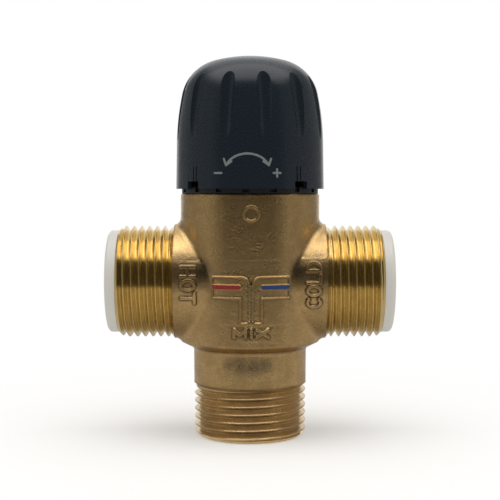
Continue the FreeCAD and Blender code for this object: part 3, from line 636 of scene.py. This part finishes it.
# Ring mark. Its patch also carries the knocks the casting has picked up below it: short
# dents and burrs, each a straight stroke with wide, low flanks.
line_flank = 0.38 * MM
ring_centre = (0.39 * MM, 66.56 * MM)
ring_radius = 2.1 * MM
ring_half = 0.14 * MM
ring_rise = 0.44 * MM
u, v = patch_grid((-9.0 * MM, 8.6 * MM), (52.6 * MM, 71.1 * MM))
ring_away = distance_to([bend(ring_centre, (ring_radius, ring_radius), 0, 360)], u, v)
height = raised(ring_away, ring_half, ring_rise, line_flank)
knocks = np.random.default_rng(11)
knock_count = 8
knock_half = 0.03 * MM
knock_flank = 0.30 * MM
dent, burr = -0.035 * MM, 0.025 * MM
for lift in (dent, burr):
    middle = knocks.uniform((-6.2, 56.0), (6.4, 63.2), (knock_count, 2)) * MM
    lean = knocks.uniform(-0.9, 0.9, knock_count)
    half_length = knocks.uniform(0.15, 0.90, (knock_count, 1)) * MM
    reach = half_length * np.stack([np.cos(lean), np.sin(lean)], axis=1)
    knock_away = distance_to(np.stack([middle - reach, middle + reach], axis=1), u, v)
    height += raised(knock_away, knock_half, lift, knock_flank)
# The ring's patch has painted shade round the foot of the ring.
cast_mark(
    "cast_ring", round_barrel, u, v, height,
    0.5 * painted_shade_near(ring_away, ring_half, line_flank), cast_brass,
)

# Flow symbol: two bent pipes side by side, one from each inlet, both leading down. A faint
# seam parts their stems.
line_half = 0.10 * MM
line_rise = 0.40 * MM
seam_half = 0.02 * MM
seam_rise = 0.14 * MM
symbol_middle = 0.30 * MM
symbol_reach = 11.5 * MM
symbol_top = 48.6 * MM
symbol_low = 42.6 * MM
stem_half = 3.03 * MM
stem_foot = 35.5 * MM
foot_bevel = 0.5 * MM
seam_gap = 0.45 * MM
elbow = 2.3 * MM
symbol_lines, symbol_seam = [], []
for side in (-1, 1):
    x_end = symbol_middle + side * symbol_reach
    x_stem = symbol_middle + side * stem_half
    x_mid = symbol_middle + side * seam_gap
    corner_turn = bend(
        (x_mid + side * elbow, symbol_top - elbow), (-side * elbow, elbow), 90, 0
    )
    symbol_lines += [corner_turn, np.array([
        (x_mid, stem_foot + foot_bevel), (x_mid + side * foot_bevel, stem_foot),
        (x_stem, stem_foot), (x_stem, symbol_low), (x_end, symbol_low),
        (x_end, symbol_top), (x_mid + side * elbow, symbol_top),
    ])]
    symbol_seam += [segment(corner_turn[-1], (x_mid, stem_foot + foot_bevel))]
u, v = patch_grid((-13.4 * MM, 14.0 * MM), (34.3 * MM, 50.6 * MM))
away = distance_to(symbol_lines, u, v)
seam_away = distance_to(symbol_seam, u, v)
height = np.maximum(
    raised(away, line_half, line_rise, line_flank),
    raised(seam_away, seam_half, seam_rise, line_flank),
)
# Painted shade round the feet of the symbol's lines and its seam.
painted_shade_and_spots = np.maximum(
    0.75 * painted_shade_near(away, line_half, line_flank), 0.7 * painted_shade_near(seam_away, 0.0, line_flank)
)

# The enamel strips: round at the stem's end, cut square at the inlet's end.
strip_height = 45.75 * MM
strip_half = 0.62 * MM
strip_inner = 2.8 * MM
strip_rise = 0.40 * MM
strip_flank = 0.34 * MM
enamel_lap = 0.02 * MM
enamel_fade = 0.10 * MM
shade_clear_reach = 0.4 * MM
hot_red = (0.30, 0.022, 0.028)
cold_blue = (0.020, 0.058, 0.20)
paint = np.zeros(u.shape + (4,))
for side, enamel in ((-1, hot_red), (1, cold_blue)):
    x_inner = symbol_middle + side * (strip_inner + strip_half)
    x_outer = symbol_middle + side * (symbol_reach + strip_half)
    away = distance_to([np.array([(x_inner, strip_height), (x_outer, strip_height)])], u, v)
    away = np.maximum(away, strip_half + (u - symbol_middle) * side - symbol_reach)
    height = np.maximum(height, raised(away, strip_half, strip_rise, strip_flank))
    # The painted shade is cleared near the enamel strips.
    painted_shade_and_spots *= np.clip((away - strip_half) / shade_clear_reach, 0, 1)
    painted = np.clip((strip_half + enamel_lap - away) / enamel_fade, 0, 1)
    paint[..., :3] += painted[..., None] * np.array(enamel)
    paint[..., 3] += painted
paint[..., :3] /= np.maximum(paint[..., 3:], 1e-6)
enamelled_brass = brass_material("enamelled_brass", enamelled=True, **cast_finish)
flow_symbol = cast_mark("flow_symbol", round_barrel, u, v, height, painted_shade_and_spots, enamelled_brass)
layer = flow_symbol.data.attributes.new("paint", "FLOAT_COLOR", "POINT")
layer.data.foreach_set("color", paint.reshape(-1).astype(np.float32))

# Words: the surface each is on, where it starts, the way it reads, how its letters stand,
# their width and gap, and the patch it takes, in millimetres.
letter_half = 0.27 * MM
letter_rise = 0.54 * MM
letter_flank = 0.50 * MM
words = {
    "MIX": {
        "place": round_barrel, "origin": (-4.5, 31.6), "along": (1, 0), "up": (0, 2.1),
        "width": 3.3, "gap": 1.55, "patch": ((-7.0, 7.6), (29.4, 35.0)),
    },
    "HOT": {
        "place": round_neck, "origin": (-19.7, 5.3), "along": (0, -1), "up": (3.8, 0),
        "width": 2.8, "gap": 1.0, "patch": ((-21.9, -13.9), (-6.8, 7.6)),
    },
    "COLD": {
        "place": round_neck, "origin": (20.1, -6.3), "along": (0, 1), "up": (-3.7, 0),
        "width": 2.55, "gap": 0.95, "patch": ((14.3, 22.2), (-8.6, 8.7)),
    },
}
for word, cast in words.items():
    strokes = word_strokes(
        word, np.array(cast["origin"]) * MM, cast["along"], np.array(cast["up"]) * MM,
        cast["width"] * MM, cast["gap"] * MM,
    )
    u, v = patch_grid(*(np.array(cast["patch"]) * MM))
    away = distance_to(strokes, u, v)
    # Each word's patch is darkened by painted shade round the feet of its letters.
    cast_mark(
        word.lower() + "_word", cast["place"], u, v,
        raised(away, letter_half, letter_rise, letter_flank),
        0.95 * painted_shade_near(away, letter_half, letter_flank), cast_brass,
    )

# ---------------------------------------------------------------- turned brass parts
# Bonnet, adjusting spindle, nut and overload plate: bar brass, turned and milled bright. The
# bonnet is screwed into the top of the body and holds the other three.


def dress(material, *names):
    """Gives CAD nodes their finish in place of the plain one."""
    for name in names:
        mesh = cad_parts[name].data
        mesh.materials.clear()
        mesh.materials.append(material)


dress(turned_brass, "bonnet", "adjusting_spindle", "adjusting_nut", "overload_plate")

# ---------------------------------------------------------------- springs, clips and pin
# Stainless steel: springs coiled from drawn wire, stamped retaining rings and seat, and the
# ground pin that the capsule pushes out. The rings are sprung into their grooves.


def fine_skin(name, grain_size, grain, rough, **sockets):
    """Material whose even noise lifts the skin a little and spreads its roughness between
    two values: drawn wire, rubber, or the spark-eroded finish of a mould."""
    made, tree, shader = finish_material(name, **sockets)
    place = shader_node(tree, "ShaderNodeTexCoord").outputs["Object"]
    noise = shader_node(tree, "ShaderNodeTexNoise", {
        "Vector": place, "Scale": grain_size, "Detail": 2.0,
    })
    roughness = shader_node(tree, "ShaderNodeMapRange", {
        "Value": noise.outputs[0], "From Min": 0.3, "From Max": 0.7,
        "To Min": rough[0], "To Max": rough[1],
    })
    relief = shader_node(tree, "ShaderNodeBump", {
        "Height": noise.outputs[0], "Strength": grain, "Distance": 0.0001,
    })
    tree.links.new(roughness.outputs[0], shader.inputs["Roughness"])
    tree.links.new(relief.outputs[0], shader.inputs["Normal"])
    return made


stainless = fine_skin(
    "stainless", grain_size=1800.0, grain=0.05, rough=(0.22, 0.32),
    Base_Color=(0.58, 0.57, 0.55, 1.0), Metallic=1.0,
)
dress(
    stainless, "spindle_circlip", "nut_circlip", "thermostat_piston", "seat_circlip",
    "return_spring_seat",
)


def coil(low, high, mean_radius, wire, turns):
    """Round-wire helix about Z between two heights, with three quarters of a flat turn at
    each end: mean_radius + wire * cos(around) out, rise + wire * sin(around) up."""
    turn = np.linspace(0, 2 * np.pi * (turns + 1.5), int(36 * turns) + 54)
    share = np.clip((turn - 1.5 * np.pi) / (2 * np.pi * turns), 0, 1)
    rise = low + wire + (high - low - 2 * wire) * share
    thickness = np.full(turn.size, wire)
    thickness[[0, -1]] = 0.0
    around = np.linspace(2 * np.pi, 0, 14, endpoint=False)[None, :]
    out = mean_radius + thickness[:, None] * np.cos(around)
    up = rise[:, None] + thickness[:, None] * np.sin(around)
    return np.stack([out * np.cos(turn)[:, None], out * np.sin(turn)[:, None], up], axis=-1)


# Each spring: the body it rides on, its axis (0 is X, 2 is Z), mean radius and wire radius in
# millimetres, turns, and the joint meant to squash it, with the end of its box that stays (0 is
# the lower) and the share of its length that is kept; nothing here squashes it, and such a
# spring only gets its own mesh.
springs = {
    "hot_check_spring": ("valve", 0, 3.4, 0.25, 3.5, ("hot_check_lift", 1, 0.59)),
    "cold_check_spring": ("valve", 0, 3.4, 0.25, 3.5, ("cold_check_lift", 0, 0.59)),
    "return_spring": ("valve", 2, 6.9, 0.6, 5.5, ("adjuster_slide", 0, 0.955)),
    "overload_spring": ("adjuster", 2, 5.9, 0.7, 4.5, None),
}
for node, (body, axis, mean_radius, wire, turns, press) in springs.items():
    corners = np.array(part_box(node))
    points = coil(*corners[:, axis], mean_radius * MM, wire * MM, turns)
    if axis == 0:
        points = points[..., [2, 0, 1]] + np.array([0.0, 0.0, port_axis])
    spring = grid_surface(node + "_coil", points, stainless, wrap=True)
    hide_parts(node)
    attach(spring, body)
    if press:
        joint, stays, kept = press
        fixed_end = np.array([0.0, 0.0, port_axis if axis == 0 else 0.0])
        fixed_end[axis] = corners[stays, axis]
        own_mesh(spring)

# ---------------------------------------------------------------- seals
# O-rings and poppet bands of black EPDM rubber, moulded with a dull skin. They sit in
# grooves of the bonnet, the spindle, the body, the cartridges and the poppets.
seal_rubber = fine_skin(
    "seal_rubber", grain_size=1500.0, grain=0.10, rough=(0.48, 0.62),
    Base_Color=(0.014, 0.014, 0.015, 1.0),
)
dress(
    seal_rubber, "bonnet_o_ring", "spindle_o_rings", "spool_o_ring", "hot_check_o_ring",
    "cold_check_o_ring", "hot_check_poppet_seal", "cold_check_poppet_seal",
)

# ---------------------------------------------------------------- thermostat
# A wax capsule in a drawn copper shell, and the spool that it carries, which is moulded from
# grey reinforced plastic. They float between the pin above and the return spring below.
copper = fine_skin(
    "capsule_copper", grain_size=900.0, grain=0.08, rough=(0.26, 0.40),
    Base_Color=(0.72, 0.33, 0.19, 1.0), Metallic=1.0,
)
dress(copper, "thermostat_capsule")
spool_plastic = fine_skin(
    "spool_plastic", grain_size=2000.0, grain=0.12, rough=(0.44, 0.56),
    Base_Color=(0.09, 0.09, 0.095, 1.0),
)
dress(spool_plastic, "mixing_spool")

# ---------------------------------------------------------------- check valves
# Cage, guide and poppet of white acetal, moulded. Each cartridge is pushed into its inlet
# until its flange, which stands proud of the brass, meets the end face.
white_plastic = fine_skin(
    "white_plastic", grain_size=1400.0, grain=0.07, rough=(0.31, 0.41),
    Base_Color=(0.86, 0.84, 0.79, 1.0),
)
dress(
    white_plastic, "hot_check_cage", "cold_check_cage", "hot_check_guide",
    "cold_check_guide", "hot_check_poppet", "cold_check_poppet",
)

# ---------------------------------------------------------------- knob and index ring
# Black glass-filled nylon, moulded: the knob has a satin, finely textured skin, the ring
# below it a flatter one. The knob is pushed on the spindle's spline over the ring's slots.
knob_plastic = fine_skin(
    "knob_plastic", grain_size=2600.0, grain=0.07, rough=(0.262, 0.278),
    Base_Color=(0.0125, 0.0205, 0.0300, 1.0), Specular_IOR_Level=0.38,
)
dress(knob_plastic, "knob")
ring_plastic = fine_skin(
    "ring_plastic", grain_size=2600.0, grain=0.12, rough=(0.45, 0.55),
    Base_Color=(0.010, 0.011, 0.013, 1.0),
)
dress(ring_plastic, "index_ring")

# ---------------------------------------------------------------- knob print
# Pad-printed on the knob's skirt in grey ink: a turning arrow between a minus and a plus. The
# ink lies 0.02 mm proud where it is printed, and the rest of its patch is under the skin.
knob_foot = 73.6 * MM
knob_foot_radius = 22.0 * MM
skirt_lean = np.tan(np.radians(1.0))


def round_skirt(u, v, height):
    """Point on the knob's skirt: u is the way round, v the height, on a 1 degree cone."""
    turn = u / knob_foot_radius
    reach = knob_foot_radius - skirt_lean * (v - knob_foot) + height
    return np.stack([reach * np.sin(turn), -reach * np.cos(turn), v], axis=-1)


print_ink = fine_skin(
    "print_ink", grain_size=2600.0, grain=0.06, rough=(0.46, 0.54),
    Base_Color=(0.225, 0.245, 0.25, 1.0),
)
print_middle = -0.75 * MM
arrow_height = 78.2 * MM
arrow_reach = (6.6 * MM, 5.2 * MM)
barb_length = 1.9 * MM
sign_height = 78.0 * MM
sign_offset = 8.55 * MM
sign_half = 1.05 * MM
arrow = bend((print_middle, arrow_height), arrow_reach, 22, 158)
barbs = []
for tip, toward in ((arrow[0], 1), (arrow[-1], -1)):
    for spread in (35, 110):
        lean = np.radians(spread)
        barb = barb_length * np.array([-toward * np.cos(lean), np.sin(lean)])
        barbs.append(segment(tip, tip + barb))
signs = [
    segment((middle - sign_half, sign_height), (middle + sign_half, sign_height))
    for middle in (print_middle - sign_offset, print_middle + sign_offset)
]
plus_stem = segment(
    (print_middle + sign_offset, sign_height - sign_half),
    (print_middle + sign_offset, sign_height + sign_half),
)
ink_half = 0.30 * MM
ink_rise = 0.12 * MM
ink_flank = 0.06 * MM
patch_depth = 0.10 * MM
u, v = patch_grid((-11.4 * MM, 9.9 * MM), (76.2 * MM, 84.6 * MM))
ink_away = distance_to([arrow] + barbs + signs + [plus_stem], u, v)
height = raised(ink_away, ink_half, ink_rise, ink_flank) - patch_depth
knob_print = grid_surface("knob_print", round_skirt(u, v, height), print_ink)
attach(knob_print, "knob")
